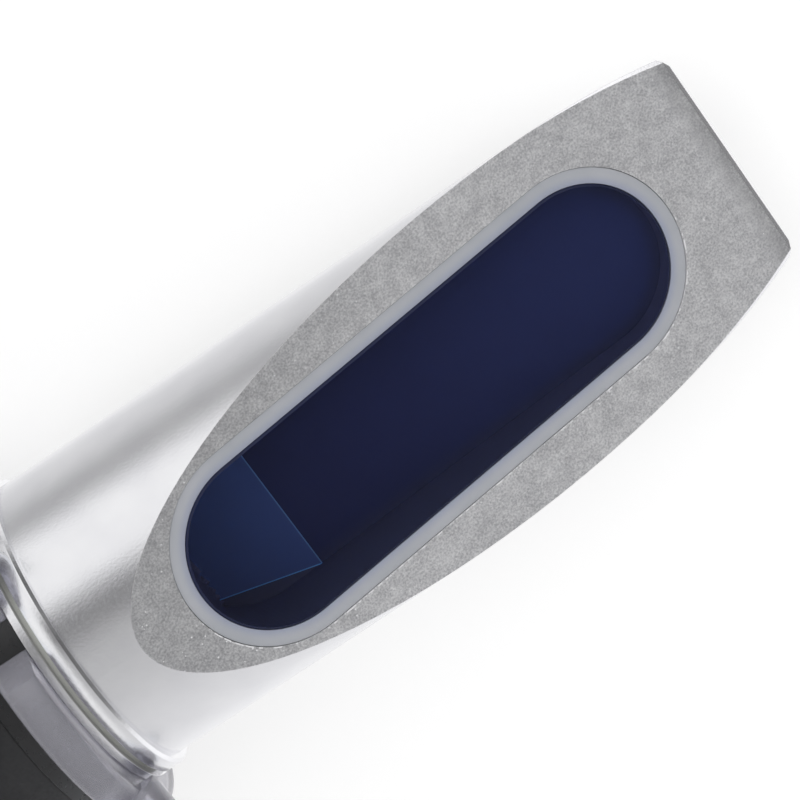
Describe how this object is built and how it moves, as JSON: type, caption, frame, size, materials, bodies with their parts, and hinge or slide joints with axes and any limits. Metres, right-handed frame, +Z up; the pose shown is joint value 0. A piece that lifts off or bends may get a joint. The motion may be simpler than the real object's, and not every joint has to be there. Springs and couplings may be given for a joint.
{
  "type": "salinity refractometer",
  "caption": "Handheld refractometer: metal prism head with a slanted sample face, hinged clear daylight plate, fluted grip, capped calibration screw and focusing eyepiece.",
  "frame": {"origin": "on the optical axis, where the head's cylinder meets its shoulder", "axes": "+X along the optical axis towards the prism tip, +Z up out of the top of the instrument, on the sample face's side; the eyepiece is towards -X"},
  "size_m": [0.1667, 0.032, 0.0771],
  "materials": {
    "head_metal": "satin, bead-blasted",
    "prism_glass": "polished optical glass that looks dark navy over the closed cavity",
    "sealant": "milky cast sealant",
    "gasket_rubber": "matt black",
    "seat_plastic": "semi-gloss black",
    "clear_plastic": "clear moulded acrylic",
    "pin_steel": "turned stainless steel",
    "spring_steel": "blued spring steel",
    "grip_rubber": "matt black with a fine moulded grain",
    "brass": "turned",
    "black_aluminium": "black anodised",
    "lens_glass": "coated optical glass",
    "washer_plastic": "natural slip plastic",
    "focus_plastic": "black moulded plastic with a fluted band",
    "eyecup_rubber": "matt soft black"
  },
  "bodies": {
    "refractometer": {"prism_head": "head_metal", "measuring_prism": "prism_glass", "prism_sealant": "sealant", "head_gasket": "gasket_rubber", "main_tube": "head_metal", "hinge_seat": "seat_plastic", "hinge_clip": "clear_plastic", "hinge_pins": "pin_steel", "rubber_grip": "grip_rubber", "calibration_bush": "brass", "light_baffle": "black_aluminium", "focus_bush": "black_aluminium", "guide_pin": "pin_steel", "snap_ring": "spring_steel", "focus_washer": "washer_plastic", "reticle": "lens_glass", "reticle_retainer": "black_aluminium"},
    "plate": {"daylight_plate": "clear_plastic"},
    "screw": {"calibration_screw": "brass", "screw_circlip": "spring_steel"},
    "objective": {"objective_cell": "black_aluminium", "crown_lens": "lens_glass", "flint_lens": "lens_glass", "lens_retainer": "black_aluminium", "bimetal_strip": "pin_steel", "adjuster_block": "brass", "strip_screws": "pin_steel"},
    "cap": {"calibration_cap": "grip_rubber"},
    "focus": {"focus_ring": "focus_plastic", "focus_nut": "black_aluminium", "eyecup": "eyecup_rubber"},
    "eyepiece": {"lens_barrel": "black_aluminium", "field_lens": "lens_glass", "lens_spacer": "black_aluminium", "eye_lens": "lens_glass", "eye_lens_retainer": "black_aluminium"}
  },
  "joints": [
    {"name": "plate_hinge", "type": "hinge", "parent": "refractometer", "child": "plate", "pos_m": [-0.00405, 0, 0.009], "axis": [0, 1, 0], "range_deg": [0, 133.7]},
    {"name": "focus_turn", "type": "hinge", "parent": "refractometer", "child": "focus", "pos_m": [-0.08, 0, 0], "axis": [1, 0, 0], "range_deg": [-135, 135]},
    {"name": "focus_slide", "type": "slide", "parent": "refractometer", "child": "eyepiece", "axis": [1, 0, 0], "range_m": [-0.002, 0.002]},
    {"name": "calibration_turn", "type": "hinge", "parent": "refractometer", "child": "screw", "pos_m": [-0.03, 0, 0.01], "axis": [0, 0, 1], "range_deg": [-285, 285]},
    {"name": "objective_shift", "type": "slide", "parent": "refractometer", "child": "objective", "axis": [0, 0, 1], "range_m": [-0.000395, 0.000395]},
    {"name": "cap_pull", "type": "slide", "parent": "refractometer", "child": "cap", "axis": [0, 0, 1], "range_m": [0, 0.012]}
  ],
  "couplings": [
    {"joint": "focus_slide", "follows": "focus_turn", "m_per_rad": 0.00082761},
    {"joint": "calibration_turn", "follows": "objective_shift", "rad_per_m": 12566}
  ]
}
